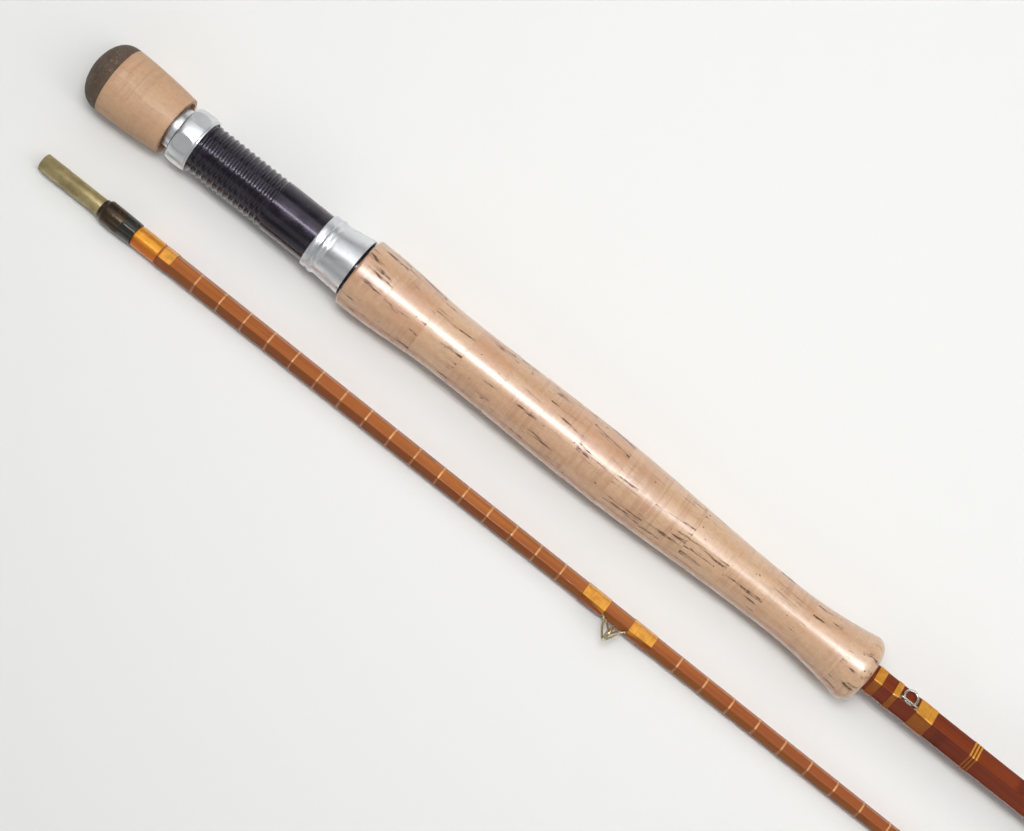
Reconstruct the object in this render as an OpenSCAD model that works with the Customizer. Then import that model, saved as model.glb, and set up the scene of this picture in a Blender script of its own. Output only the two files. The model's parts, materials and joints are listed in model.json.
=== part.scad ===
// Fly rod: a two-piece split-cane rod, taken apart, with both sections lying side by side.
// X runs from the butt to the tip, Y across the pair and Z up from the surface they lie on. Millimetres.
// The origin is the middle of the bottom of the box round both sections.

/* [Sections] */
// Length of the butt section, from the button to the mouth of the ferrule
butt_len = 1385; // [1250:1:1500]
// Length of the tip section, from the male ferrule to the tip ring
tip_len = 1385; // [1250:1:1500]
// How far ahead of the button the tip section starts
tip_start = 4.4; // [2:0.2:20]
// Distance between the axes of the two sections
tip_gap = 38; // [34:0.5:50]
// How far the tip section is rolled from a corner of its cane up
tip_roll = 13; // [0:1:20]

/* [Fighting butt] */
// Length of the dark button
button_len = 9.6; // [8:0.1:14]
// Length of the cork behind the reel seat
butt_cork_len = 25.2; // [20:0.1:32]
// Diameter of the fighting butt at the button
butt_rear_d = 25.5; // [24:0.1:26.4]
// Diameter of the fighting butt at the reel seat
butt_front_d = 22.4; // [22:0.1:23.5]

/* [Reel seat] */
// Length of the reel seat between the two corks
seat_len = 79.6; // [76:0.1:84]
// Outside diameter of the seat tube
seat_d = 19.05; // [18.6:0.05:19.4]
// Length of the threaded part
thread_len = 40; // [34:0.5:46]
// Pitch of the thread
thread_pitch = 2.3; // [1.6:0.1:2.8]
// Length of the plain ring behind the nut
collar_len = 3.2; // [2.4:0.1:4]
// Length of the locking nut
nut_len = 7.4; // [6.8:0.1:8.4]
// Largest diameter of the locking nut
nut_d = 21.6; // [21.4:0.1:22.2]
// Length of the sliding hood
hood_len = 16.4; // [15:0.1:17.5]
// Gap between the sliding hood and the grip
hood_gap = 1.1; // [0.6:0.1:2]
// How far the mouth of the hood leans out to the reel side
hood_lean = 1; // [0.8:0.1:1.4]

/* [Grip] */
// Length of the cork grip
grip_len = 222.2; // [205:1:240]
// Diameter of the swell at the reel seat
grip_rear_d = 26.4; // [26.4:0.1:28]
// Diameter of the waist behind the palm swell
grip_waist_d = 22.8; // [22:0.1:24]
// Diameter of the palm swell
grip_palm_d = 24.4; // [23:0.1:26]
// Diameter of the slim neck
grip_neck_d = 19.2; // [18:0.1:21]
// Diameter of the flared front end
grip_front_d = 25.7; // [24:0.1:26.4]

/* [Cane] */
// Across flats of the butt cane where it leaves the grip
cane_grip_af = 10.2; // [9.8:0.1:10.6]
// Across flats of the butt cane at its ferrule
cane_ferrule_af = 7.3; // [7.1:0.05:7.6]
// Across flats of the tip cane at its ferrule
tip_ferrule_af = 7.1; // [6.9:0.05:7.3]
// Across flats of the tip cane where its taper slows
tip_mid_af = 5.5; // [5:0.05:6]
// Across flats of the tip cane at the tip ring
tip_end_af = 2.2; // [2:0.05:2.6]

/* [Keeper] */
// Distance from the grip to the middle of the keeper ring
keeper_at = 16; // [15:0.1:18]
// Outside diameter of the keeper ring
keeper_d = 6; // [5.6:0.1:6.1]

/* [Ferrules] */
// Diameter of the male slide
slide_d = 6.65; // [6.4:0.05:6.8]
// Length of the male slide
slide_len = 25.9; // [22:0.1:28]
// Radial clearance between the slide and its bore
slide_gap = 0.015; // [0.01:0.005:0.04]
// Largest diameter of a ferrule over the cane
ferrule_d = 8.9; // [8.7:0.1:9.2]

/* [Guides] */
// Distance from the male ferrule's end to the first guide of the tip section
guide_first = 254.3; // [230:0.1:280]
// Outside diameter of the first ring on the tip section
guide_d = 7.2; // [6.6:0.1:7.8]
// Outside diameter of the last ring on the tip section
guide_last_d = 4.4; // [4:0.1:5]
// Outside diameter of the stripping ring
stripping_d = 12; // [10:0.1:12.4]

/* [Windings] */
// Thickness of the varnished thread
thread_t = 0.2; // [0.15:0.01:0.3]
// Distance between the narrow bands behind the first guide of the tip section
band_pitch = 10.6; // [10:0.1:14]
// Width of a narrow band
band_w = 0.8; // [0.6:0.1:1.4]
// Distance from the grip to the three signature bands
signature_at = 43.3; // [40:0.1:60]

/* [Hidden] */
$fn = 64;
// Which sub-part is drawn

// Counts of the repeated pieces
RINGS = 14;
STRIPS = 6;
TIP_GUIDES = 7;

// Small working gap, and the play of a piece that moves
touch = 0.01;
play = 0.1;

// Stations along the butt section, from the button
u_seat = button_len + butt_cork_len;
u_nut = u_seat + collar_len;
u_washer = u_nut + nut_len;
u_grip = u_seat + seat_len;
u_hood = u_grip - hood_gap - hood_len;
u_front = u_grip + grip_len;
u_keeper = u_front + keeper_at;
u_signature = u_front + signature_at;
cane_start = button_len + 0.2;

// Reel seat
seat_r = seat_d / 2;
seat_wall = 1.5;
collar_seat = 1.2;
u_collar = u_seat - collar_seat;
thread_depth = 0.6;
washer_len = 0.7;
socket_len = 12.5;
collar_r = seat_r - 1.7;
collar_pit_r = seat_r + 0.3;
barrel_lead = 0.4;
u_barrel = u_nut - barrel_lead;
nut_roll = -12;
nut_flat = 0.42;
hood_neck = 5.5;
hood_flare = 2.1;
socket_lean = 0.9;
reel_side = 60;

// Ferrules
ferrule_r = ferrule_d / 2;
socket_r = ferrule_r - 0.7;
tenon_af = 2 * socket_r * cos(30) - 2 * touch;
tenon_len = 15;
female_len = slide_len + tenon_len + 3.6;
u_female = butt_len - female_len;
male_len = slide_len + tenon_len + 0.1;
shoulder = 1.2;

// Grip rings: the first and the last are trimmed
ring_len = grip_len / (RINGS - 2 + 0.85 + 0.73);
function ring_at(i) = i <= 1 ? 0 : i > RINGS ? grip_len : ring_len * (0.85 + i - 2);

// Smooth step from 0 to 1
function ease(t) = 0.5 - 0.5 * cos(180 * t);
function part_of(t, a, b) = min(1, max(0, (t - a) / (b - a)));
function mix(a, b, t) = a + (b - a) * t;

// Grip radius before its ends are rounded, with t from 0 at the reel seat to 1 at the cane
function wells_d(t) =
    t < 0.19 ? mix(grip_rear_d, grip_waist_d, ease(part_of(t, 0.025, 0.19))) :
    t < 0.46 ? mix(grip_waist_d, grip_palm_d, ease(part_of(t, 0.19, 0.46))) :
    t < 0.84 ? mix(grip_palm_d, grip_neck_d, ease(part_of(t, 0.46, 0.84))) :
    mix(grip_neck_d, grip_front_d, pow(part_of(t, 0.84, 0.98), 2));
function round_in(d, r) = d >= r ? 0 : r - sqrt(r * r - (r - d) * (r - d));
function grip_r(s) = wells_d(s / grip_len) / 2 - round_in(s, 1) - round_in(grip_len - s, 4.4);

// Fighting butt radius, with t from 0 at the button to 1 at the reel seat
function butt_r(t) = mix(butt_rear_d, butt_front_d, t * t) / 2;

// Across flats of the cane at a station
function butt_af(u) = mix(cane_grip_af, cane_ferrule_af, (u - u_front) / (u_female - u_front));
tip_slow = 0.267 * tip_len;
function tip_af(w) =
    w < tip_slow ? mix(tip_ferrule_af, tip_mid_af, (w - male_len) / (tip_slow - male_len)) :
    mix(tip_mid_af, tip_end_af, (w - tip_slow) / (tip_len - tip_slow));

// Guides
guide_wire = 1;
leg_wire = 0.8;
guide_step = (tip_len - guide_first) / 5.035;
function guide_at(k) = guide_first + guide_step * (k - 1 - 0.0444 * (k - 1) * (k - 2));
function guide_size(k) = mix(guide_d, guide_last_d, (k - 1) / (TIP_GUIDES - 1));
function guide_span(d) = 2 + 0.93 * d;
function foot_len(d) = 7.4 + 0.4 * d;
function ring_lift(d) = 0.3 * d;
function guide_reach(d) = guide_span(d) / 2 + foot_len(d);
u_stripping = mix(u_front, u_female, 0.42);
u_second = mix(u_front, u_female, 0.74);
second_d = mix(guide_d, stripping_d, 0.35);
foot_h = 0.7;
foot_w = 1.2;
tip_side = 30;
butt_side = reel_side - 90;

// Keeper: a wire staple on two feet, and the ring that hangs on its bar
keeper_wire = 0.9;
staple_wire = 0.8;
keeper_leg = 3.2;
keeper_cross = 1.2;
keeper_aside = 1.7;
keeper_rear_foot = 5.6;
keeper_front_foot = 8.9;
bar_z = 1.56;
ring_drop = 1;
keeper_af = butt_af(u_keeper - 7);
keeper_base = keeper_af / 2 + touch;
keeper_mid = (keeper_d - keeper_wire) / 2;
keeper_out = sqrt(pow(keeper_mid, 2) - pow(keeper_cross, 2));

// Lengths and places of the windings
grip_wrap = 3.4;
grip_wrap_at = 1.9;
keeper_bare = 3.8;
keeper_rear_wrap = 2.3;
keeper_front_wrap = 7.2;
signature_step = 1.25;
signature_w = 0.8;
female_wrap = 10.6;
male_wraps = [[shoulder + play, 9.4], [shoulder + 10.1, 5.1]];
tip_wrap = 5.6;

// Tip ring
tip_tube = 11;
tip_leg_at = 8;
tip_cap = 0.8;

// Box round both sections
rest_r = max(grip_rear_d, grip_front_d, butt_rear_d) / 2;
ring_out = tip_af(guide_first - guide_reach(guide_d)) / 2 + touch + ring_lift(guide_d) + guide_d / 2;
tip_reach = ring_out * sin(tip_side + tip_roll) + guide_d / 2;
x_mid = max(butt_len, tip_start + tip_len) / 2;
y_mid = (rest_r - tip_gap - tip_reach) / 2;
tip_z = ferrule_r;

// Colours for the preview
CORK = [0.82, 0.67, 0.52];
DARK_CORK = [0.36, 0.29, 0.24];
CANE = [0.60, 0.30, 0.12];
SILVER = [0.80, 0.81, 0.82];
BARREL = [0.20, 0.16, 0.20];
BLACK = [0.08, 0.08, 0.08];
BRASS = [0.58, 0.50, 0.32];
STEEL = [0.70, 0.69, 0.64];
THREAD = [0.85, 0.58, 0.22];

// Places of the two sections
module in_butt() {
    translate([-x_mid, -y_mid, rest_r]) children();
}

module in_tip() {
    translate([tip_start - x_mid, -tip_gap - y_mid, tip_z]) rotate([tip_roll, 0, 0]) children();
}

// Turns a shape so that its own axis lies along the rod from station u
module along(u) {
    translate([u, 0, 0]) rotate([90, 0, 90]) children();
}

// A turned piece from points of radius and length
module turned(u, points) {
    along(u) rotate_extrude() polygon(points);
}

// A plain ring
module ring(u, len, r_out, r_in) {
    along(u) difference() {
        cylinder(h = len, r = r_out);
        translate([0, 0, -1]) cylinder(h = len + 2, r = r_in);
    }
}

// Six-sided outline with a corner up
module hexagon(af) {
    rotate(30) circle(d = af / cos(30), $fn = 6);
}

// A straight wire between two points
module wire(p, q, d) {
    v = q - p;
    translate(p)
        rotate([0, acos(v[2] / norm(v)), atan2(v[1], v[0])])
            cylinder(h = norm(v), d = d, $fn = 24);
}

// One of the six glued strips, through stations of place and across flats
module strip(i, stations) {
    a = 30 + 60 * i;
    points = [for (s = stations) each [
        [s[0], 0, 0],
        [s[0], s[1] / sqrt(3) * cos(a), s[1] / sqrt(3) * sin(a)],
        [s[0], s[1] / sqrt(3) * cos(a + 60), s[1] / sqrt(3) * sin(a + 60)]
    ]];
    n = 3 * (len(stations) - 1);
    sides = [for (k = [0:3:n - 1]) each [
        [k + 1, k + 4, k + 5, k + 2],
        [k, k + 3, k + 4, k + 1],
        [k, k + 2, k + 5, k + 3]
    ]];
    polyhedron(points, concat([[0, 1, 2], [n, n + 2, n + 1]], sides), convexity = 4);
}

// Thread wound round the cane
module winding(u, len, af) {
    along(u) linear_extrude(len) difference() {
        hexagon(af + 2 * (touch + thread_t));
        hexagon(af + 2 * touch);
    }
}

// Thread wound round the cane and over a flat foot on one side of it, aside of the middle of the flat
module foot_winding(u, len, af, side, aside = 0) {
    base = af / 2 + touch;
    half = 0.45 * af / sqrt(3);
    edge = max(half, foot_w * 0.75 + aside);
    translate([u, 0, 0]) rotate([side, 0, 0]) along(0) linear_extrude(len) difference() {
        union() {
            circle(d = (af + 2 * (touch + thread_t)) / cos(30), $fn = 6);
            polygon([
                [-edge, base - touch],
                [-aside - foot_w * 0.6, base + foot_h + thread_t],
                [foot_w * 0.6 - aside, base + foot_h + thread_t],
                [max(half, foot_w * 0.75), base - touch]
            ]);
        }
        circle(d = (af + 2 * touch) / cos(30), $fn = 6);
        translate([-aside, base + foot_h / 2])
            square([foot_w + 2 * touch, foot_h + 2 * touch], center = true);
    }
}

// A bridge guide: two flat feet, four legs and a ring across the rod
module bridge(u, d, base, side) {
    span = guide_span(d);
    mid_r = (d - guide_wire) / 2;
    top = ring_lift(d) + d / 2 + mid_r * cos(50);
    translate([u, 0, 0]) rotate([side, 0, 0]) translate([0, 0, base]) {
        translate([0, 0, ring_lift(d) + d / 2])
            rotate([0, 90, 0])
                rotate_extrude() translate([mid_r, 0]) circle(d = guide_wire, $fn = 24);
        for (s = [-1, 1]) {
            translate([s * (span + foot_len(d)) / 2, 0, foot_h / 2])
                cube([foot_len(d), foot_w, foot_h], center = true);
            for (t = [-1, 1]) wire(
                [s * (span / 2 + leg_wire / 2), t * 0.15, foot_h / 2],
                [0, t * mid_r * sin(50), top],
                leg_wire
            );
        }
    }
}

// The windings over both feet of a guide
module bridge_windings(u, d, af, side) {
    bare = 0.9;
    len = foot_len(d) + 0.6 - bare;
    foot_winding(u - guide_span(d) / 2 - bare - len, len, af, side);
    foot_winding(u + guide_span(d) / 2 + bare, len, af, side);
}

// Fighting butt
module butt_button() {
    steps = 12;
    arc = [for (k = [0:steps]) let (t = ease(k / steps))
        [butt_rear_d / 2 * pow(1 - pow(1 - t, 2.6), 0.5), button_len * t]];
    color(DARK_CORK) in_butt() turned(0, concat(arc, [[0, button_len]]));
}

module butt_cork(from, to) {
    steps = 6;
    skin = [for (k = [0:steps]) let (t = mix(from, to, k / steps)) [butt_r(t), butt_cork_len * t]];
    hole = butt_af(cane_start) / sqrt(3) + touch;
    points = concat([[hole, butt_cork_len * from]], skin, [[hole, butt_cork_len * to]]);
    color(CORK) in_butt() difference() {
        turned(button_len, points);
        if (to == 1) along(u_collar) cylinder(h = 2 * collar_seat, r = collar_pit_r);
    }
}

module butt_cork_1() {
    butt_cork(0, 0.51);
}

module butt_cork_2() {
    butt_cork(0.51, 1);
}

// Reel seat
module rear_collar() {
    hole = butt_af(cane_start) / sqrt(3) + touch;
    color(SILVER) in_butt() ring(u_collar + touch, u_barrel - u_collar - 2 * touch, collar_r, hole);
}

module seat_barrel() {
    turns = floor(thread_len / thread_pitch);
    end = u_grip + socket_len - u_barrel;
    r0 = seat_r - thread_depth;
    first = barrel_lead;
    crests = [for (k = [0:turns - 1]) each [
        [r0, first + thread_pitch * k],
        [seat_r, first + thread_pitch * (k + 0.3)],
        [seat_r, first + thread_pitch * (k + 0.55)],
        [r0, first + thread_pitch * (k + 0.85)]
    ]];
    points = concat(
        [[seat_r - seat_wall, 0], [r0, 0]],
        crests,
        [[r0, first + thread_len], [seat_r, first + thread_len + 0.3]],
        [[seat_r, end], [seat_r - seat_wall, end]]
    );
    color(BARREL) in_butt() turned(u_barrel, points);
}

module seat_bush() {
    len = u_grip + socket_len - u_barrel;
    color(CANE) in_butt() difference() {
        along(u_barrel) cylinder(h = len, r = seat_r - seat_wall - touch);
        along(u_barrel - 1) linear_extrude(len + 2) hexagon(butt_af(u_barrel) + 2 * touch);
    }
}

module nut_washer() {
    color(SILVER) in_butt() ring(u_washer + 2 * touch, washer_len, nut_d / 2 - 0.35, seat_r + play);
}

module locking_nut() {
    r = nut_d / 2;
    h = nut_len;
    points = [
        [seat_r + play, 0], [r - 0.75, 0], [r - 0.35, 0.5], [r - 0.08, 0.25 * h], [r, 0.5 * h],
        [r - 0.08, 0.75 * h], [r - 0.35, h - 0.5], [r - 0.6, h], [seat_r + play, h]
    ];
    color(SILVER) in_butt() difference() {
        turned(u_nut, points);
        for (k = [0:5])
            along(u_nut - 1) rotate(60 * k + nut_roll)
                translate([r - nut_flat, -r, 0]) cube([4, 2 * r, h + 2]);
    }
}

// The leaning part of the sliding hood, larger by grow
module hood_horn(grow, past) {
    tilt = atan(hood_lean / (hood_len - hood_neck));
    r_neck = seat_r + 0.45;
    start = hood_neck + 0.6;
    intersection() {
        rotate(reel_side) translate([0, 0, hood_neck]) rotate([0, tilt, 0])
            cylinder(h = hood_len + 4, r1 = r_neck + grow, r2 = r_neck + hood_flare + grow);
        translate([0, 0, start]) cylinder(h = hood_len - start + past, r = seat_d);
    }
}

module sliding_hood() {
    r = seat_r + 0.75;
    bore = seat_r + 0.15;
    points = [
        [bore, 0], [r + 0.05, 0], [r + 0.15, 0.5], [r + 0.05, 2.1], [r - 0.15, 2.4], [r - 0.15, 2.9],
        [r + 0.3, 3.2], [r + 0.5, 4], [r + 0.3, 4.8], [r - 0.05, 5.4], [r, 8],
        [r + 0.1, 0.7 * hood_len], [r + 0.1, hood_len], [bore, hood_len]
    ];
    color(SILVER) in_butt() difference() {
        union() {
            turned(u_hood, points);
            along(u_hood) difference() {
                hood_horn(0.2, 0);
                cylinder(h = 3 * hood_len, r = bore, center = true);
            }
        }
        along(u_hood) hood_horn(-0.65, 2);
    }
}

// Outline of the hood let into the rear of the grip
module socket_outline(grow) {
    circle(r = seat_r + 0.75 + grow);
    rotate(reel_side) translate([socket_lean, 0]) circle(r = seat_r + 0.95 + grow);
}

module fixed_hood() {
    floor_t = 2;
    color(BLACK) in_butt() difference() {
        along(u_grip) linear_extrude(socket_len) socket_outline(0);
        along(u_grip - 1) cylinder(h = socket_len + 2, r = seat_r + touch);
        along(u_grip - 1) rotate(reel_side) translate([socket_lean, 0, 0])
            cylinder(h = socket_len + 1 - floor_t, r = seat_r + 0.35);
    }
}

// Grip
module grip_ring(i) {
    steps = i == 1 || i == RINGS ? 14 : 6;
    a = ring_at(i);
    b = ring_at(i + 1);
    bend = i == RINGS ? 0.5 : i == 1 ? 2 : 1;
    skin = [for (k = [0:steps]) let (s = mix(a, b, pow(k / steps, bend))) [grip_r(s), s]];
    hole = butt_af(u_grip + a) / sqrt(3) + touch;
    color(CORK) in_butt() difference() {
        turned(u_grip, concat([[hole, a]], skin, [[hole, b]]));
        if (i == 1) along(u_grip - 1) linear_extrude(socket_len + 1 + touch) socket_outline(touch);
    }
}

// Butt cane
module butt_strip(i) {
    color(CANE) in_butt() strip(i, [
        [cane_start, butt_af(cane_start)],
        [u_female - shoulder, butt_af(u_female - shoulder)],
        [u_female - touch, tenon_af],
        [u_female + tenon_len, tenon_af]
    ]);
}

module grip_winding() {
    u = u_front + grip_wrap_at;
    color(THREAD) in_butt() winding(u, grip_wrap, butt_af(u));
}

module signature_windings() {
    color(THREAD) in_butt() for (k = [0:2]) {
        u = u_signature + k * signature_step;
        winding(u, signature_w, butt_af(u));
    }
}

// Keeper
module on_keeper() {
    in_butt() translate([u_keeper, 0, 0])
        rotate([butt_side, 0, 0]) translate([0, -keeper_aside, keeper_base]) children();
}

module keeper_staple() {
    leg = keeper_leg;
    heel = leg - staple_wire / 4;
    color(SILVER) on_keeper() {
        wire([-leg, 0, bar_z], [leg, 0, bar_z], staple_wire);
        for (s = [-1, 1]) {
            wire([s * leg, 0, 0.2], [s * leg, 0, bar_z], staple_wire);
            translate([s * leg, 0, bar_z]) sphere(d = staple_wire * 1.06, $fn = 24);
        }
        translate([-keeper_rear_foot, -foot_w / 2, 0])
            cube([keeper_rear_foot - heel, foot_w, foot_h]);
        translate([heel, -foot_w / 2, 0]) cube([keeper_front_foot - heel, foot_w, foot_h]);
    }
}

module keeper_ring() {
    color(SILVER) on_keeper() translate([0, keeper_out, bar_z - ring_drop])
        rotate_extrude() translate([keeper_mid, 0]) circle(d = keeper_wire, $fn = 24);
}

module keeper_windings() {
    color(THREAD) in_butt() {
        rear = u_keeper - keeper_rear_wrap - keeper_bare;
        foot_winding(rear, keeper_rear_wrap, keeper_af, butt_side, keeper_aside);
        foot_winding(u_keeper + keeper_bare, keeper_front_wrap, keeper_af, butt_side, keeper_aside);
    }
}

// Guides of the butt section
function base_at(u, d) = butt_af(u - guide_reach(d)) / 2 + touch;

module stripping_guide() {
    color(STEEL) in_butt() bridge(u_stripping, stripping_d, base_at(u_stripping, stripping_d), butt_side);
}

module butt_guide() {
    color(STEEL) in_butt() bridge(u_second, second_d, base_at(u_second, second_d), butt_side);
}

module butt_guide_windings() {
    color(THREAD) in_butt() for (g = [[u_stripping, stripping_d], [u_second, second_d]]) {
        af = butt_af(g[0] - guide_reach(g[1]));
        bridge_windings(g[0], g[1], af, butt_side);
    }
}

// Ferrules
module female_ferrule() {
    bore = slide_d / 2 + slide_gap;
    r = bore + 0.8;
    n = female_len;
    points = [
        [socket_r, 0], [ferrule_r - 0.35, 0], [ferrule_r, 6], [ferrule_r, tenon_len],
        [r, tenon_len + 2.4], [r, n - 3], [r + 0.5, n - 2.6], [r + 0.5, n - 0.3], [r + 0.2, n], [bore, n],
        [bore, n - slide_len - 1], [0, n - slide_len - 1], [0, tenon_len + 0.6], [socket_r, tenon_len + 0.6]
    ];
    color(BRASS) in_butt() turned(u_female, points);
}

module female_winding() {
    u = u_female - shoulder - female_wrap;
    color(THREAD) in_butt() winding(u, female_wrap, butt_af(u));
}

module male_ferrule() {
    r = slide_d / 2;
    n = male_len;
    neck = slide_len;
    points = [
        [0, 0], [r - 0.4, 0], [r, 0.5], [r, neck], [r + 0.3, neck + 0.5], [r + 0.3, neck + 1],
        [ferrule_r - 0.15, neck + 1.4], [ferrule_r, neck + 2.4], [ferrule_r, neck + 9],
        [ferrule_r - 0.35, n], [socket_r, n], [socket_r, neck + 3], [0, neck + 3]
    ];
    color(BRASS) in_tip() turned(0, points);
}

module male_winding() {
    color(THREAD) in_tip() {
        for (w = male_wraps) winding(male_len + w[0], w[1], tip_af(male_len + w[0]));
    }
}

// Tip cane
module tip_strip(i) {
    color(CANE) in_tip() strip(i, [
        [male_len - tenon_len + 3.2, tenon_af],
        [male_len + touch, tenon_af],
        [male_len + shoulder, tip_af(male_len + shoulder)],
        [tip_slow, tip_af(tip_slow)],
        [tip_len - tip_cap - play, tip_af(tip_len - tip_cap - play)]
    ]);
}

// The bare lengths of the tip cane, each between one winding and the next
male_end = male_len + male_wraps[1][0] + male_wraps[1][1];
top_wrap_at = tip_len - tip_tube - 0.4 - tip_wrap;
function bay_from(k) = k == 0 ? male_end : guide_at(k) + guide_reach(guide_size(k));
function bay_to(k) = k == TIP_GUIDES ? top_wrap_at : guide_at(k + 1) - guide_reach(guide_size(k + 1));

// Narrow bands spread evenly over the bare lengths, and farther apart toward the tip
module tip_bands() {
    color(THREAD) in_tip() for (k = [0:TIP_GUIDES]) {
        bay = bay_to(k) - bay_from(k);
        count = round(bay / (band_pitch + 1.1 * sqrt(k))) - 1;
        step = bay / (count + 1);
        for (i = [1:1:count]) {
            w = bay_from(k) + i * step - band_w / 2;
            winding(w, band_w, tip_af(w));
        }
    }
}

// Guides of the tip section
module tip_guide(k) {
    d = guide_size(k);
    w = guide_at(k);
    color(STEEL) in_tip() bridge(w, d, tip_af(w - guide_reach(d)) / 2 + touch, tip_side);
}

module tip_guide_windings() {
    color(THREAD) in_tip() {
        for (k = [1:TIP_GUIDES]) {
            d = guide_size(k);
            af = tip_af(guide_at(k) - guide_reach(d));
            bridge_windings(guide_at(k), d, af, tip_side);
        }
        winding(top_wrap_at, tip_wrap, tip_af(top_wrap_at));
    }
}

module tip_top() {
    hole = tip_af(tip_len - tip_tube) / sqrt(3) + touch;
    tube = hole + 0.5;
    d = guide_last_d;
    mid_r = (d - guide_wire) / 2;
    x = tip_len - guide_wire / 2 - 0.1;
    up = tube + d / 2 - 0.4;
    color(STEEL) in_tip() {
        difference() {
            union() {
                along(tip_len - tip_tube) cylinder(h = tip_tube, r = tube);
                rotate([tip_side, 0, 0]) {
                    translate([x, 0, up]) rotate([0, 90, 0])
                        rotate_extrude() translate([mid_r, 0]) circle(d = guide_wire, $fn = 24);
                    for (t = [-1, 1]) wire(
                        [tip_len - tip_leg_at, t * 0.3, tube - 0.2],
                        [x, t * mid_r * sin(50), up + mid_r * cos(50)],
                        leg_wire
                    );
                }
            }
            along(tip_len - tip_tube - 1) cylinder(h = tip_tube + 1 - tip_cap, r = hole);
        }
    }
}

butt_button();
butt_cork_1();
butt_cork_2();
rear_collar();
seat_barrel();
seat_bush();
nut_washer();
locking_nut();
sliding_hood();
fixed_hood();
for (i = [1:RINGS]) {
    grip_ring(i);
}
for (i = [1:STRIPS]) {
    butt_strip(i);
}
grip_winding();
keeper_staple();
keeper_ring();
keeper_windings();
signature_windings();
stripping_guide();
butt_guide();
butt_guide_windings();
female_ferrule();
female_winding();
male_ferrule();
male_winding();
for (i = [1:STRIPS]) {
    tip_strip(i);
}
tip_bands();
for (i = [1:TIP_GUIDES]) {
    tip_guide(i);
}
tip_guide_windings();
tip_top();
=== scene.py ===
import json
import math

import bpy
from mathutils import Matrix, Vector


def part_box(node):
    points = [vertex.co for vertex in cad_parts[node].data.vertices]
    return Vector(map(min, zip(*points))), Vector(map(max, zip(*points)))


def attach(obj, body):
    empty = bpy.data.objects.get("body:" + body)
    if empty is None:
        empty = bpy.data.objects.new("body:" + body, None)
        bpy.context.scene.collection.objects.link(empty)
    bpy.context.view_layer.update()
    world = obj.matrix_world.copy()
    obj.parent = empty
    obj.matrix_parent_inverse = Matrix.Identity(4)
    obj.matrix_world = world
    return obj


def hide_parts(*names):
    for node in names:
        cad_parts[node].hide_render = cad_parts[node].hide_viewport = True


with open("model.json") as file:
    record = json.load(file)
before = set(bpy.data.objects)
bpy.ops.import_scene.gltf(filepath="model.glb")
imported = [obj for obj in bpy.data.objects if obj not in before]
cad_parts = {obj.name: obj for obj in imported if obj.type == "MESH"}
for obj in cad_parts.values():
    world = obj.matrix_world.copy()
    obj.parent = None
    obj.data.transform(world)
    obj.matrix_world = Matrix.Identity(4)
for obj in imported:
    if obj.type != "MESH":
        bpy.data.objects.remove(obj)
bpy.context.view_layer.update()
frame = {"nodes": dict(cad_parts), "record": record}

MM = 0.001
WELD = 1e-6
SAME_REACH = 0.02 * MM
TURN = 2 * math.pi
X = Vector((1, 0, 0))
NODES = frame["nodes"]
RECORD = frame["record"]


# Sizes and places that the frame gives

def numbered(stem):
    """Nodes named with a stem and a number, in the order of their numbers."""
    numbers = [name[len(stem):] for name in NODES if name.startswith(stem)]
    return [stem + number for number in sorted(filter(str.isdigit, numbers), key=int)]


def middle(node):
    """Middle of a node's box."""
    low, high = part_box(node)
    return (low + high) / 2


def span(node):
    """First and last place of a node along the rod."""
    low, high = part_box(node)
    return low.x, high.x


def width(node):
    """Size of a node across the rod."""
    low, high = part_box(node)
    return high.y - low.y


def direction(angle):
    """Unit vector across the rod, at an angle from +Y toward +Z."""
    return Vector((0, math.cos(angle), math.sin(angle)))


def off_axis(axis, node):
    """Place along the rod, and distance from an axis, of each vertex of a node."""
    return [(v.co.x, math.hypot(v.co.y - axis.y, v.co.z - axis.z)) for v in NODES[node].data.vertices]


def bore_of(axis, node):
    """Smallest radius of a node."""
    return min(radius for x, radius in off_axis(axis, node))


def facing(axis, node):
    """Angle at which a node reaches farthest from an axis."""
    reach = [vertex.co - axis for vertex in NODES[node].data.vertices]
    farthest = max(math.hypot(r.y, r.z) for r in reach) - SAME_REACH
    ends = [r for r in reach if math.hypot(r.y, r.z) > farthest]
    return math.atan2(sum(r.z for r in ends), sum(r.y for r in ends))


def heights(axis, node, angle):
    """Lowest and highest reach of a node from an axis at an angle."""
    out = direction(angle)
    values = [(vertex.co - axis).dot(out) for vertex in NODES[node].data.vertices]
    return min(values), max(values)


BUTT = middle("seat_barrel")
TIP = middle("male_ferrule")
SEAT_R = width("seat_barrel") / 2
COS30 = math.cos(math.pi / 6)
TAN30 = math.tan(math.pi / 6)

# Directions round a section, from +Y toward +Z
BUTT_SIDE = facing(BUTT, "stripping_guide")
TIP_SIDE = facing(TIP, "tip_guide_1")
NUT_ROLL = math.radians(-12)
# Side from which the windings count as lit: thread turned away from it gets painted shade
LIT_SIDE = math.radians(50)

# Small gaps between pieces that meet, and the clearances of those that move
TOUCH = 0.01 * MM
NUT_PLAY = 0.1 * MM
HOOD_PLAY = 0.15 * MM
PIT_GAP = 0.3 * MM

# Cork rings: their broken corners, and the step that spreads their tones
CORK_CHAMFER = 0.07 * MM
POCKET_CLEAR = 0.2 * MM
TONE_STEP = 0.618

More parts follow.
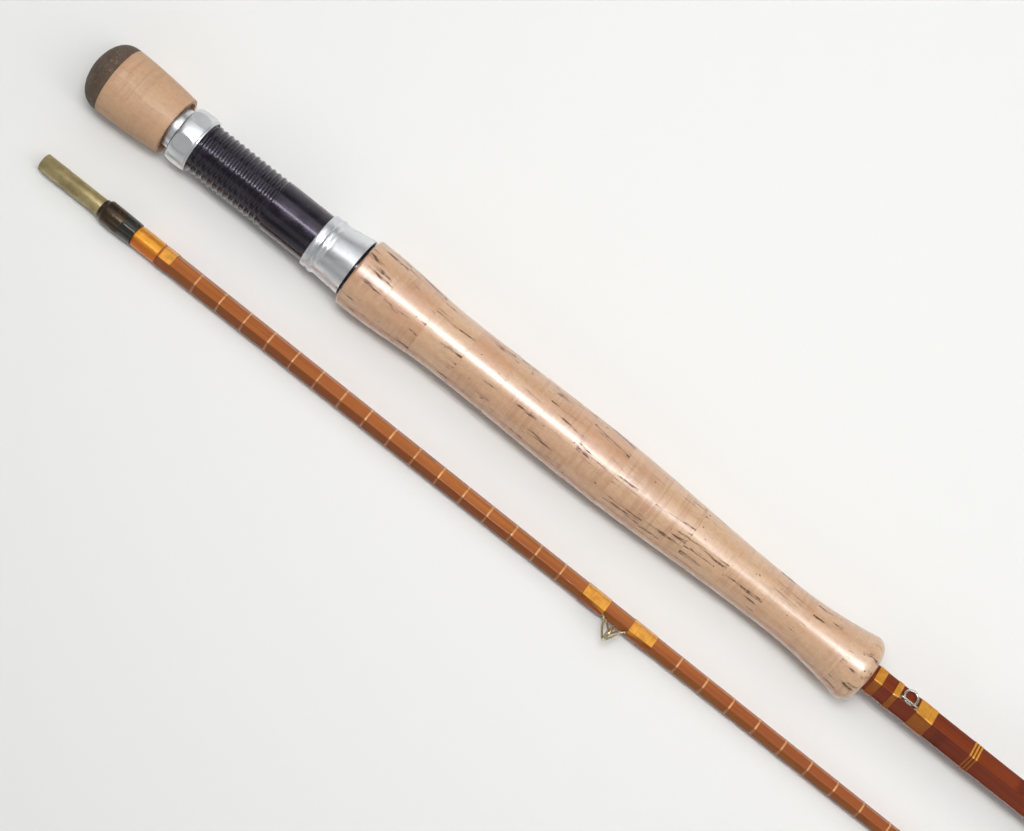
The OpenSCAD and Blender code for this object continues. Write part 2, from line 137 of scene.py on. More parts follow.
# Reel seat
COLLAR_EASE = 0.3 * MM
SEAT_WALL = 1.5 * MM
SEAT_LEAD = 0.4 * MM
SEAT_THREAD = 0.42 * MM
RIDGE_SINK = 5 * TOUCH
RIDGE_SOFT = 0.05 * MM
THREAD_RUN = 40 * MM
NUT_D = 21.6 * MM
NUT_FLAT = 0.42 * MM
WASHER_EASE = 0.18 * MM
SOCKET_SLEEVE = 0.75 * MM
SOCKET_SWELL = 0.95 * MM
SOCKET_LEAN = 0.9 * MM
HOOD_LENGTH = 16.4 * MM
HOOD_SLEEVE = 0.75 * MM
HOOD_WAIST = 0.08 * MM
HOOD_EASE = 0.12 * MM
HOOD_MOUTH = 0.1 * MM
HORN_FROM = 5.5 * MM
HORN_ROWS_FROM = 6.4 * MM
HORN_ROWS = 10
HORN_NECK = 0.65 * MM
HORN_FLARE = 1.12 * MM
HORN_LEAN = 1.0 * MM
HORN_WALL = 0.85 * MM

# Cane and windings; a rounding is a share of the cane's half size across flats
CANE_ROUND = 0.13
CANE_CROWN = 1.004
BAND_ROUND = 0.4
ORANGE_ROUND = 0.75
THREAD_T = 0.2 * MM
WRAP_SINK = 8 * TOUCH
WRAP_EASE = 0.16 * MM
WRAP_SHOULDER = [(0, 0.35), (0.5, 0.85), (1, 1)]
WRAP_STEP = 0.7 * MM
# How far a winding's surface faces the lit side where its painted shade starts to fade, and where it is
# gone
LIT_FROM, LIT_TO = 0.3, 0.8

# Feet under the windings; the toe's height and the widths from the middle are shares
FOOT_W = 1.2 * MM
FOOT_H = 0.7 * MM
FOOT_TOE = 0.25
FOOT_REACH = 16 * MM
FOOT_EASE = 0.12 * MM
HEEL_HALF, TOE_HALF = 0.42, 0.5

# Wire fittings; a leg meets its ring at shares of the ring's radius, up and across
RING_LIFT = 0.3
BRIDGE_SPAN = 2 * MM
BRIDGE_GROWTH = 0.93
GUIDE_WIRE_D = 1.0 * MM
LEG_WIRE_D = 0.8 * MM
LEG_UP, LEG_ACROSS = 0.64, 0.77
TOP_CAP = 0.8 * MM
TOP_SINK = 0.4 * MM
STAPLE_WIRE_D = 0.8 * MM
STAPLE_BEND = 0.5 * MM
STAPLE_BAR_DROP = 0.53 * STAPLE_WIRE_D
KEEPER_WIRE_D = 0.9 * MM
KEEPER_ASIDE = 1.7 * MM
KEEPER_LEG = 3.2 * MM

# Ferrules
SLIDE_LENGTH = 25.9 * MM
FERRULE_WRAP = 5.9 * MM
FERRULE_WRAP_EASE = 0.3 * MM
FERRULE_WRAP_FALL = 0.18 * MM
FERRULE_BARE = 1.3 * MM
FERRULE_PLUG = 3 * MM
CANE_GAP = 0.1 * MM


def skin(axis, *nodes):
    """Outline of CAD nodes: the largest radius at each place along the rod."""
    widest = {}
    for name in nodes:
        for x, radius in off_axis(axis, name):
            place = round(x, 6)
            widest[place] = max(widest.get(place, 0), radius)
    return sorted(widest.items())


def between(outline, x):
    """Radius of an outline at a place, straight between its points."""
    for (x0, r0), (x1, r1) in zip(outline, outline[1:]):
        if x <= x1:
            return r0 + (r1 - r0) * (x - x0) / (x1 - x0)
    return outline[-1][1]


def eased(outline, steps):
    """The outline with smooth curves through its points."""
    def curve(p, q, r, s, t):
        bend = (2 * p - 5 * q + 4 * r - s) * t ** 2 + (3 * q - p - 3 * r + s) * t ** 3
        return (2 * q + (r - p) * t + bend) / 2

    ends = [outline[0]] + outline + [outline[-1]]
    points = []
    for four in zip(ends, ends[1:], ends[2:], ends[3:]):
        for k in range(steps):
            points.append(tuple(curve(*values, k / steps) for values in zip(*four)))
    return points + [outline[-1]]


def stretches(node):
    """Places along the rod where each separate solid of a node starts and ends."""
    mesh = NODES[node].data
    edges = {tuple(sorted(round(mesh.vertices[v].co.x, 6) for v in edge.vertices)) for edge in mesh.edges}
    runs = []
    for start, end in sorted(edges):
        if runs and start <= runs[-1][1]:
            runs[-1][1] = max(runs[-1][1], end)
        else:
            runs.append([start, end])
    return runs


# Modelling

def only(piece):
    """Leave one piece selected and active."""
    bpy.ops.object.select_all(action="DESELECT")
    piece.select_set(True)
    bpy.context.view_layer.objects.active = piece


def started(name, primitive, **settings):
    """A primitive, named, with its place put into its mesh."""
    bpy.ops.object.select_all(action="DESELECT")
    primitive(**settings)
    piece = bpy.context.object
    piece.name = piece.data.name = name
    bpy.ops.object.transform_apply(location=True, rotation=True, scale=True)
    return piece


def opened(piece):
    """Put one piece into edit mode with all of it selected."""
    only(piece)
    bpy.ops.object.mode_set(mode="EDIT")
    bpy.ops.mesh.select_all(action="SELECT")


def closed_up():
    """Merge the doubles of the mesh in edit mode and turn its faces outwards."""
    bpy.ops.mesh.select_all(action="SELECT")
    bpy.ops.mesh.remove_doubles(threshold=WELD)
    bpy.ops.mesh.normals_make_consistent(inside=False)
    bpy.ops.object.mode_set(mode="OBJECT")


def drawn_outline(name, points):
    """Draw a line through points, and stay in edit mode with all of it selected."""
    piece = started(name, bpy.ops.mesh.primitive_plane_add, size=MM, location=points[0])
    opened(piece)
    bpy.ops.mesh.merge(type="CENTER")
    for here, there in zip(points, points[1:]):
        bpy.ops.mesh.extrude_vertices_move(TRANSFORM_OT_translate={"value": Vector(there) - Vector(here)})
    bpy.ops.mesh.select_all(action="SELECT")
    bpy.ops.mesh.remove_doubles(threshold=WELD)
    return piece


def turned(name, axis, outline, sides=96, start=math.pi / 2):
    """Turn an outline of places and radii round an axis. One that starts off the axis closes on itself."""
    out = direction(start)
    points = [Vector((x, axis.y, axis.z)) + out * r for x, r in outline]
    if outline[0][1] > 0:
        points.append(points[0])
    piece = drawn_outline(name, points)
    bpy.ops.mesh.spin(steps=sides, angle=TURN, center=axis, axis=X, use_auto_merge=True)
    closed_up()
    return piece


def reshape(piece, axis, radius):
    """Move each vertex in or out to radius(place, direction, old radius)."""
    for vertex in piece.data.vertices:
        y = vertex.co.y - axis.y
        z = vertex.co.z - axis.z
        old = math.hypot(y, z)
        if old > WELD:
            scale = radius(vertex.co.x, math.atan2(z, y), old) / old
            vertex.co.y = axis.y + y * scale
            vertex.co.z = axis.z + z * scale


def round_edges(piece, size, segments=2, angle=30):
    """Round the sharp edges of a piece."""
    only(piece)
    bevel = piece.modifiers.new("edges", "BEVEL")
    bevel.width = size
    bevel.segments = segments
    bevel.limit_method = "ANGLE"
    bevel.angle_limit = math.radians(angle)
    bpy.ops.object.modifier_apply(modifier=bevel.name)


def joined(name, pieces):
    """Make one piece of several."""
    only(pieces[0])
    for piece in pieces:
        piece.select_set(True)
    bpy.ops.object.join()
    pieces[0].name = name
    return pieces[0]


def marked(piece, **marks):
    """Give a piece numbers that its material reads: one for all of it, or a list by vertex."""
    for name, value in marks.items():
        numbers = piece.data.attributes.new(name, "FLOAT", "POINT")
        values = value if isinstance(value, list) else [value] * len(piece.data.vertices)
        numbers.data.foreach_set("value", values)


def done(piece, material, body, *nodes, slot, smooth=35):
    """Finish a piece: shading, material, the body it moves with and the nodes it stands for."""
    only(piece)
    bpy.ops.object.shade_smooth_by_angle(angle=math.radians(smooth))
    piece.data.materials.clear()
    piece.data.materials.append(material)
    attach(piece, body)
    if nodes:
        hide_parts(*nodes)


# Shader helpers

def srgb(red, green, blue):
    """A colour as seen on a screen, 0 to 255, in the linear values that shaders take."""
    def linear(c):
        c /= 255
        return c / 12.92 if c <= 0.04045 else ((c + 0.055) / 1.055) ** 2.4
    return (linear(red), linear(green), linear(blue), 1)


def darker(colour, share):
    """A share of a colour."""
    return tuple(share * c for c in colour[:3]) + (1,)


def add(tree, kind, inputs, **settings):
    """Add a node. Its inputs are values, or sockets that are linked to it."""
    node = tree.nodes.new(kind)
    for name, value in settings.items():
        setattr(node, name, value)
    for name, value in inputs.items():
        if isinstance(value, bpy.types.NodeSocket):
            tree.links.new(value, node.inputs[name])
        else:
            node.inputs[name].default_value = value
    return node


def sums(tree, operation, a, b=0.0):
    """Arithmetic on one or two values."""
    return add(tree, "ShaderNodeMath", {0: a, 1: b}, operation=operation).outputs[0]


def times(tree, a, b):
    """Two values multiplied."""
    return sums(tree, "MULTIPLY", a, b)


def vectors(tree, operation, inputs):
    """Arithmetic on vectors."""
    return add(tree, "ShaderNodeVectorMath", inputs, operation=operation).outputs


def ramped(tree, value, low, high, start=0.0, end=1.0):
    """Bring a value smoothly from one range to another."""
    inputs = {"Value": value, "From Min": low, "From Max": high, "To Min": start, "To Max": end}
    return add(tree, "ShaderNodeMapRange", inputs, interpolation_type="SMOOTHSTEP").outputs["Result"]


def blend(tree, factor, a, b):
    """A colour between two colours."""
    return add(tree, "ShaderNodeMix", {0: factor, 6: a, 7: b}, data_type="RGBA").outputs[2]


def tint(tree, colour, mask, share, stain_and_shade):
    """A colour stained where a mask is set, by a share; some materials use it for painted shade too."""
    return blend(tree, times(tree, mask, share), colour, stain_and_shade)


def mark(tree, name):
    """A number that the piece is marked with."""
    return add(tree, "ShaderNodeAttribute", {}, attribute_name=name).outputs["Fac"]


def shifted(tree, place, step, count):
    """Coordinates moved on by a count of steps, which gives each ring or strip a pattern of its own."""
    shift = vectors(tree, "SCALE", {0: step, "Scale": count})[0]
    return vectors(tree, "ADD", {0: place, 1: shift})[0]


def effect(name, outputs, **inputs):
    """An empty shader group that takes coordinates and more: its tree, its inputs and its outputs."""
    tree = bpy.data.node_groups.new(name, "ShaderNodeTree")
    tree.interface.new_socket("Vector", in_out="INPUT", socket_type="NodeSocketVector")
    for label, value in inputs.items():
        kind = "NodeSocketVector" if isinstance(value, tuple) else "NodeSocketFloat"
        tree.interface.new_socket(label, in_out="INPUT", socket_type=kind).default_value = value
    for label in outputs:
        tree.interface.new_socket(label, in_out="OUTPUT", socket_type="NodeSocketFloat")
    return tree, tree.nodes.new("NodeGroupInput").outputs, tree.nodes.new("NodeGroupOutput").inputs


def use(tree, group, **inputs):
    """Place a shader group in a tree, and give back its outputs."""
    return add(tree, "ShaderNodeGroup", inputs, node_tree=group).outputs


# Shared effects

def streaks_effect():
    """Grain that is finer along some directions than others. Stretch is in features a metre."""
    tree, given, result = effect("Streaks", ["Mask"], Stretch=(100, 100, 100), Low=0.4, High=0.6)
    scaled = vectors(tree, "MULTIPLY", {0: given["Vector"], 1: given["Stretch"]})[0]
    noise = add(tree, "ShaderNodeTexNoise", {"Vector": scaled, "Scale": 1, "Detail": 3, "Roughness": 0.55})
    mask = ramped(tree, noise.outputs["Fac"], given["Low"], given["High"])
    tree.links.new(mask, result["Mask"])
    return tree


def granules_effect():
    """Packed crumbs: a tone for each crumb, and the gaps between them."""
    tree, given, result = effect("Granules", ["Tone", "Gap"], Scale=700)
    inputs = {"Vector": given["Vector"], "Scale": given["Scale"]}
    crumbs = add(tree, "ShaderNodeTexVoronoi", inputs)
    tone = add(tree, "ShaderNodeSeparateColor", {"Color": crumbs.outputs["Color"]})
    edges = add(tree, "ShaderNodeTexVoronoi", inputs, feature="DISTANCE_TO_EDGE")
    gap = ramped(tree, edges.outputs["Distance"], 0.0, 0.12, 1.0, 0.0)
    tree.links.new(tone.outputs["Red"], result["Tone"])
    tree.links.new(gap, result["Gap"])
    return tree


def handling_effect(streaks):
    """Marks of use on turned metal: fine scratches and lathe lines that run round it, and soft smudges."""
    tree, given, result = effect("Handling", ["Scratches", "Lathe", "Smudge"])
    kinds = (
        ("Scratches", (7000, 110, 110), 0.6, 0.7),
        ("Lathe", (9000, 30, 30), 0.3, 0.7),
        ("Smudge", (160, 210, 210), 0.35, 0.68),
    )
    for label, stretch, low, high in kinds:
        marks = use(tree, streaks, Vector=given["Vector"], Stretch=stretch, Low=low, High=high)
        tree.links.new(marks["Mask"], result[label])
    return tree


def wound_effect():
    """Turns of thread along the rod: the height of each turn, and a tone of its own."""
    tree, given, result = effect("Wound", ["Height", "Tone"], Turns=5500)
    place = add(tree, "ShaderNodeSeparateXYZ", {"Vector": given["Vector"]}).outputs["X"]
    turn = times(tree, place, given["Turns"])
    wave = sums(tree, "SINE", times(tree, turn, TURN))
    tone = add(tree, "ShaderNodeTexWhiteNoise", {"W": sums(tree, "FLOOR", turn)}, noise_dimensions="1D")
    tree.links.new(wave, result["Height"])
    tree.links.new(tone.outputs["Value"], result["Tone"])
    return tree


STREAKS = streaks_effect()
GRANULES = granules_effect()
HANDLING = handling_effect(STREAKS)
WOUND = wound_effect()


# Materials

def finish(name, **settings):
    """A new material, its tree and the piece's own coordinates."""
    material = bpy.data.materials.new(name)
    material.use_nodes = True
    tree = material.node_tree
    for label, value in settings.items():
        tree.nodes["Principled BSDF"].inputs[label.replace("_", " ")].default_value = value
    return material, tree, tree.nodes.new("ShaderNodeTexCoord").outputs["Object"]


def surface(material, colour, roughness, height=None, depth=0.0, coat=None):
    """Give a material its colour and its roughness, and a relief and a coat where it has them."""
    tree = material.node_tree
    sockets = {"Base Color": colour, "Roughness": roughness}
    if height is not None:
        bump = add(tree, "ShaderNodeBump", {"Height": height, "Distance": depth, "Strength": 1.0})
        sockets["Normal"] = bump.outputs["Normal"]
    if coat is not None:
        sockets["Coat Weight"] = coat
    for label, socket in sockets.items():
        tree.links.new(socket, tree.nodes["Principled BSDF"].inputs[label])
    return material


def grain(tree, place, stretch, low, high):
    """Mask of the shared streaks."""
    return use(tree, STREAKS, Vector=place, Stretch=stretch, Low=low, High=high)["Mask"]


def cork():
    """Sealed cork: tones by ring, growth bands across the rod, and dark ragged channels along it."""
    material, tree, place = finish("cork", Specular_IOR_Level=1.0, Coat_Roughness=0.3, Coat_IOR=1.8)
    tone = mark(tree, "tone")
    flaws = mark(tree, "flaws")
    place = shifted(tree, place, (0.37, 0.61, 0.43), mark(tree, "ring"))
    lean = times(tree, sums(tree, "SUBTRACT", tone, 0.5), 0.22)
    slant = {"Vector": place, "Axis": (0, 0.6, 0.8), "Angle": lean}
    slanted = add(tree, "ShaderNodeVectorRotate", slant).outputs[0]

    colour = blend(tree, tone, srgb(214, 173, 131), srgb(202, 149, 108))
    pale = grain(tree, place, (55, 95, 95), 0.36, 0.66)
    colour = tint(tree, colour, pale, 0.5, srgb(214, 179, 140))
    banded = grain(tree, place, (25, 60, 60), 0.4, 0.62)
    bands = times(tree, grain(tree, place, (620, 40, 40), 0.46, 0.62), banded)
    colour = tint(tree, colour, bands, 0.5, srgb(172, 116, 80))
    mottle = grain(tree, place, (600, 800, 800), 0.42, 0.64)
    colour = tint(tree, colour, mottle, 0.3, srgb(180, 132, 98))
    cells = grain(tree, place, (2600, 2300, 2300), 0.45, 0.7)
    colour = tint(tree, colour, cells, 0.25, srgb(150, 104, 74))
    colour = blend(tree, ramped(tree, flaws, 0, 1, 0.5, 0.0), colour, srgb(182, 142, 110))

    cluster = times(tree, grain(tree, place, (26, 62, 62), 0.39, 0.48), flaws)
    ragged = grain(tree, slanted, (420, 1300, 1300), 0.42, 0.58)
    channel = (42, 540, 540)
    halo = times(tree, grain(tree, slanted, channel, 0.53, 0.66), cluster)
    lines = times(tree, grain(tree, slanted, channel, 0.59, 0.645), cluster)
    pits = times(tree, lines, ramped(tree, ragged, 0, 1, 0.2, 1.0))
    dots = times(tree, grain(tree, place, (460, 700, 700), 0.7, 0.73), ramped(tree, flaws, 0, 1, 0.4, 1.0))
    pits = sums(tree, "MAXIMUM", pits, dots)
    colour = tint(tree, colour, halo, 0.4, srgb(150, 98, 66))
    colour = tint(tree, colour, pits, 0.9, srgb(82, 54, 40))

    rough = sums(tree, "ADD", times(tree, cells, 0.08), times(tree, pits, 0.4))
    rough = sums(tree, "ADD", rough, ramped(tree, flaws, 0, 1, 0.66, 0.42))
    height = sums(tree, "SUBTRACT", times(tree, cells, -0.03), pits)
    sealed = times(tree, flaws, ramped(tree, pits, 0, 1, 1.0, 0.0))
    return surface(material, colour, rough, height, 0.15 * MM, sealed)


def dark_cork():
    """Pressed crumbs of cork and rubber."""
    material, tree, place = finish("dark_cork", Specular_IOR_Level=0.35)
    crumbs = use(tree, GRANULES, Vector=place, Scale=1400)
    colour = blend(tree, crumbs["Tone"], srgb(80, 66, 55), srgb(108, 90, 74))
    pale = ramped(tree, crumbs["Tone"], 0.9, 0.97)
    colour = tint(tree, colour, pale, 0.4, srgb(150, 122, 94))
    dust = grain(tree, place, (170, 170, 170), 0.4, 0.66)
    colour = tint(tree, colour, dust, 0.3, srgb(116, 100, 86))
    colour = tint(tree, colour, crumbs["Gap"], 0.4, srgb(56, 46, 39))
    rough = ramped(tree, crumbs["Tone"], 0, 1, 0.55, 0.75)
    height = sums(tree, "SUBTRACT", times(tree, crumbs["Tone"], 0.4), crumbs["Gap"])
    return surface(material, colour, rough, height, 0.06 * MM)


def cane(name, deep, honey):
    """Varnished split cane: fibres along the rod, tones along each strip, the marks of its joints, and
    painted shade where a strip is marked as turned from the light.
    """
    material, tree, place = finish(
        name, Specular_IOR_Level=0.1, Coat_Weight=0.45, Coat_Roughness=0.05, Coat_IOR=1.5,
    )
    strip = mark(tree, "strip")
    moved = shifted(tree, place, (0.31, 0.17, 0.23), strip)
    colour = blend(tree, grain(tree, moved, (9, 120, 120), 0.32, 0.68), deep, honey)
    fibres = grain(tree, moved, (16, 3200, 3200), 0.42, 0.66)
    colour = tint(tree, colour, fibres, 0.38, darker(deep, 0.42))

    along = add(tree, "ShaderNodeSeparateXYZ", {"Vector": place}).outputs["X"]
    bay = sums(tree, "ADD", sums(tree, "DIVIDE", along, 0.37), times(tree, strip, 0.382))
    off = sums(tree, "ABSOLUTE", sums(tree, "SUBTRACT", sums(tree, "FRACT", bay), 0.5))
    ragged = times(tree, grain(tree, moved, (350, 1800, 1800), 0.3, 0.7), 0.004)
    joint = ramped(tree, sums(tree, "SUBTRACT", off, ragged), 0.001, 0.006, 1.0, 0.0)
    colour = tint(tree, colour, joint, 0.5, darker(deep, 0.5))
    # Painted shade: a strip marked as facing away from the light is darkened toward its deep tone
    colour = tint(tree, colour, mark(tree, "aged"), 0.6, darker(deep, 0.42))
    rough = ramped(tree, fibres, 0, 1, 0.34, 0.46)
    return surface(material, colour, rough, sums(tree, "SUBTRACT", joint, fibres), 0.03 * MM)


def bush():
    """Plain turned wood."""
    material, tree, place = finish("bush")
    fibres = grain(tree, place, (40, 900, 900), 0.35, 0.65)
    colour = blend(tree, fibres, srgb(150, 106, 66), srgb(112, 74, 44))
    return surface(material, colour, ramped(tree, fibres, 0, 1, 0.5, 0.65))


def worn(
    name, clean, dull, smooth, rough,
    dulling=1.0, lathe=0.0, drag=0.0, scratch=None, spots=None, depth=0.004 * MM, **settings,
):
    """A hard finish with the marks of use: smudged dull, scratched, and lined by the lathe.

    Lathe is the height of the lathe lines, and drag is how much they roughen the finish.
    """
    material, tree, place = finish(name, **settings)
    marks = use(tree, HANDLING, Vector=place)
    colour = tint(tree, clean, marks["Smudge"], dulling, dull)
    if scratch:
        colour = tint(tree, colour, marks["Scratches"], 0.25, scratch)
    if spots:
        colour = tint(tree, colour, grain(tree, place, (420, 620, 620), 0.45, 0.7), 0.4, spots)
    smudged = ramped(tree, marks["Smudge"], 0, 1, smooth, rough)
    roughness = sums(tree, "ADD", smudged, times(tree, marks["Lathe"], drag))
    height = sums(tree, "SUBTRACT", times(tree, marks["Lathe"], lathe), marks["Scratches"])
    return surface(material, colour, roughness, height, depth)


def ferrule_metal(name, clean, tarnish, smooth, metallic):
    """Drawn brass, dulled and spotted by use."""
    return worn(
        name, clean, tarnish, smooth, smooth + 0.15,
        lathe=0.5, spots=darker(tarnish, 0.6), depth=0.005 * MM, Metallic=metallic,
    )


def wire_metal(name, clean, dull):
    """Drawn wire with a soft polish."""
    return worn(name, clean, dull, 0.16, 0.3, depth=0.003 * MM, Metallic=1.0)


def thread(name, silk, amber_and_shade, metallic, gloss=0.4, index=1.5):
    """Varnished silk: close turns of thread, amber in blotches, and painted shade in a dark amber where the
    run mark says the thread is turned from the light.
    """
    material, tree, place = finish(
        name, Metallic=metallic, Specular_IOR_Level=0.2,
        Coat_Weight=gloss, Coat_Roughness=0.06, Coat_IOR=index,
    )
    turns = use(tree, WOUND, Vector=place, Turns=1 / (0.18 * MM))
    blotch = grain(tree, place, (260, 420, 420), 0.4, 0.68)
    mixed = sums(tree, "ADD", times(tree, blotch, 0.6), times(tree, turns["Tone"], 0.4))
    amber = tuple(0.6 * a + 0.4 * b for a, b in zip(silk, amber_and_shade))
    colour = blend(tree, mixed, silk, amber)
    # Painted shade: the thread is darkened toward its shade tone where the run mark is set, on the side
    # turned from the light
    colour = tint(tree, colour, mark(tree, "run"), 0.88, amber_and_shade)
    fine = grain(tree, place, (5200, 700, 700), 0.35, 0.65)
    rough = ramped(tree, fine, 0, 1, 0.36, 0.48)
    return surface(material, colour, rough, turns["Height"], 0.02 * MM)


CORK = cork()
DARK_CORK = dark_cork()
BUTT_CANE = cane("butt_cane", srgb(108, 40, 15), srgb(134, 58, 22))
TIP_CANE = cane("tip_cane", srgb(158, 78, 20), srgb(188, 110, 33))
BUSH = bush()
BRIGHT = worn(
    "bright_metal", srgb(230, 232, 234), srgb(206, 211, 214), 0.29, 0.39,
    dulling=0.5, lathe=0.3, drag=0.05, scratch=srgb(150, 156, 160), Metallic=1.0,
)
ANODISED = worn(
    "dark_anodised", srgb(40, 34, 45), srgb(54, 48, 60), 0.22, 0.32,
    lathe=0.4, scratch=srgb(80, 73, 88), Metallic=0.8, Coat_Weight=0.5, Coat_Roughness=0.08,
)
INSERT = worn("black_insert", srgb(20, 19, 20), srgb(38, 36, 36), 0.3, 0.5)
SLIDE = ferrule_metal("ferrule_slide", srgb(178, 162, 116), srgb(152, 137, 94), 0.4, 0.55)
BRONZED = ferrule_metal("ferrule_body", srgb(84, 70, 54), srgb(58, 48, 38), 0.24, 0.7)
GUIDE_WIRE = wire_metal("guide_wire", srgb(226, 216, 186), srgb(178, 160, 118))
KEEPER_WIRE = wire_metal("keeper_wire", srgb(216, 214, 204), srgb(158, 154, 140))
GOLD = thread("winding_gold", srgb(248, 176, 66), srgb(138, 57, 20), 0.7)
ORANGE = thread("winding_orange", srgb(255, 178, 62), srgb(212, 110, 28), 0.7)
PALE = thread("winding_pale", srgb(232, 168, 92), srgb(164, 90, 36), 0.7, gloss=1.0, index=1.7)
BLACK_THREAD = thread("winding_black", srgb(40, 38, 30), srgb(26, 24, 20), 0.1, gloss=0.7, index=1.6)


# Fighting butt and grip

def cork_rings(nodes, pockets, flaws, warmth):
    """Cork rings on one smooth outline, each with slightly broken corners where it meets the next.

    A pocket is bored into one end of a ring, to a place and a radius. Flaws is how much the cork is
    pitted, and warmth is where the tones of the rings start.
    """
    depths = [x for x, radius in pockets.values()]
    points = [p for p in skin(BUTT, *nodes) if all(abs(p[0] - x) > POCKET_CLEAR for x in depths)]
    outline = eased(points, steps=3)
    rings = []
    for number, name in enumerate(nodes):
        start, end = span(name)
        hole = bore_of(BUTT, name)
        rear, front = start + CORK_CHAMFER, end - CORK_CHAMFER
        first, last = between(outline, rear), between(outline, front)
        own = [(start, first - CORK_CHAMFER), (rear, first)]
        own += [(x, r) for x, r in outline if rear < x < front]
        own += [(front, last), (end, last - CORK_CHAMFER)]
        head = [(start, hole)]
        tail = [(end, hole)]
        if name in pockets:
            floor, radius = pockets[name]
            if floor - start < end - floor:
                head = [(floor, hole), (floor, radius), (start, radius)]
            else:
                tail = [(end, radius), (floor, radius), (floor, hole)]
        piece = turned(name + "_cork", BUTT, head + own + tail, sides=128)
        tone = (warmth + TONE_STEP * (number + 1) * (number + 3)) % 1
        marked(piece, ring=1.0 + number, tone=tone, flaws=flaws)
        rings.append(piece)
    return rings


def fighting_butt():
    """Dark domed button and the two cork rings behind the reel seat, with a pit round the collar."""
    outline = eased(skin(BUTT, "butt_button"), steps=3)
    closed = [(outline[0][0], 0)] + outline[1:] + [(outline[-1][0], 0)]
    piece = turned("button", BUTT, closed, sides=128)
    done(piece, DARK_CORK, "butt_section", "butt_button", slot="dark_cork")
    names = numbered("butt_cork_")
    pit = (span("rear_collar")[0] - TOUCH, SEAT_R + PIT_GAP)
    rings = cork_rings(names, {names[-1]: pit}, flaws=0.12, warmth=0.3)
    for piece, name in zip(rings, names):
        done(piece, CORK, "butt_section", name, slot="cork")


def leaning(radius, lean, angle):
    """Reach from the seat's axis to a round that leans to the reel side, at an angle."""
    off = angle - BUTT_SIDE
    return lean * math.cos(off) + math.sqrt(radius ** 2 - (lean * math.sin(off)) ** 2)


def socket_radius(angle):
    """Radius of the fixed hood at an angle: a round sleeve, and a round that leans to the reel side."""
    swell = leaning(SEAT_R + SOCKET_SWELL, SOCKET_LEAN, angle)
    return max(SEAT_R + SOCKET_SLEEVE, swell) + TOUCH


def grip():
    """The cork rings of the grip; the rear one is bored out for the fixed hood."""
    names = numbered("grip_ring_")
    floor = span("fixed_hood")[1] + TOUCH
    bore = SEAT_R + SOCKET_SLEEVE
    rings = cork_rings(names, {names[0]: (floor, bore)}, flaws=1.0, warmth=0.0)
    reshape(rings[0], BUTT, lambda x, angle, old: socket_radius(angle) if abs(old - bore) < WELD else old)
    for piece, name in zip(rings, names):
        done(piece, CORK, "butt_section", name, slot="cork")


# Reel seat

def softened(start, end, inside, outside, ease):
    """Outline of a plain ring with rounded outer edges."""
    angles = [k * math.pi / 6 for k in range(4)]
    soft = [(ease * (1 - math.cos(a)), ease * (1 - math.sin(a))) for a in angles]
    rear = [(start + x, outside - r) for x, r in soft]
    front = [(end - x, outside - r) for x, r in reversed(soft)]
    return [(start, inside)] + rear + front + [(end, inside)]


def plain_ring(name, node, body, inside, ease):
    """A bright ring with rounded outer edges."""
    outline = softened(*span(node), inside, width(node) / 2, ease)
    done(turned(name, BUTT, outline, sides=128), BRIGHT, body, node, slot="bright_metal")


def thread_ridge(start, pitch, turns):
    """The ridge of the seat thread, wound right-handed from a place along the rod."""
    root = SEAT_R - SEAT_THREAD - RIDGE_SINK
    edge = SEAT_R - RIDGE_SOFT
    profile = [(0.04, root), (0.3, edge), (0.33, SEAT_R), (0.52, SEAT_R), (0.55, edge), (0.81, root)]
    points = [(share * pitch, 0, radius) for share, radius in profile]
    piece = drawn_outline("seat_ridge", points + points[:1])
    bpy.ops.object.mode_set(mode="OBJECT")
    screw = piece.modifiers.new("lead", "SCREW")
    screw.axis = "X"
    screw.screw_offset = pitch
    screw.iterations = turns
    screw.steps = screw.render_steps = 72
    only(piece)
    bpy.ops.object.modifier_apply(modifier=screw.name)
    opened(piece)
    bpy.ops.mesh.fill_holes(sides=0)
    closed_up()
    piece.data.transform(Matrix.Translation((start, BUTT.y, BUTT.z)))
    return piece


def seat_tube():
    """Dark seat tube: a threaded rear part, a soft shoulder and a plain front part."""
    start, end = span("seat_barrel")
    root = SEAT_R - SEAT_THREAD
    inside = SEAT_R - SEAT_WALL
    pitch = TURN * RECORD["behaviour"]["couplings"][0]["ratio"]
    plain = start + SEAT_LEAD + THREAD_RUN
    shoulder = [(plain, root), (plain + 0.22 * MM, SEAT_R - 0.12 * MM), (plain + 0.42 * MM, SEAT_R)]
    outline = [(start, inside), (start, root)] + shoulder + [(end, SEAT_R), (end, inside)]
    tube = turned("seat_tube", BUTT, outline, sides=128)
    ridge = thread_ridge(start + SEAT_LEAD, pitch, int(THREAD_RUN / pitch))
    piece = joined("seat_tube", [tube, ridge])
    done(piece, ANODISED, "butt_section", "seat_barrel", slot="dark_anodised", smooth=30)


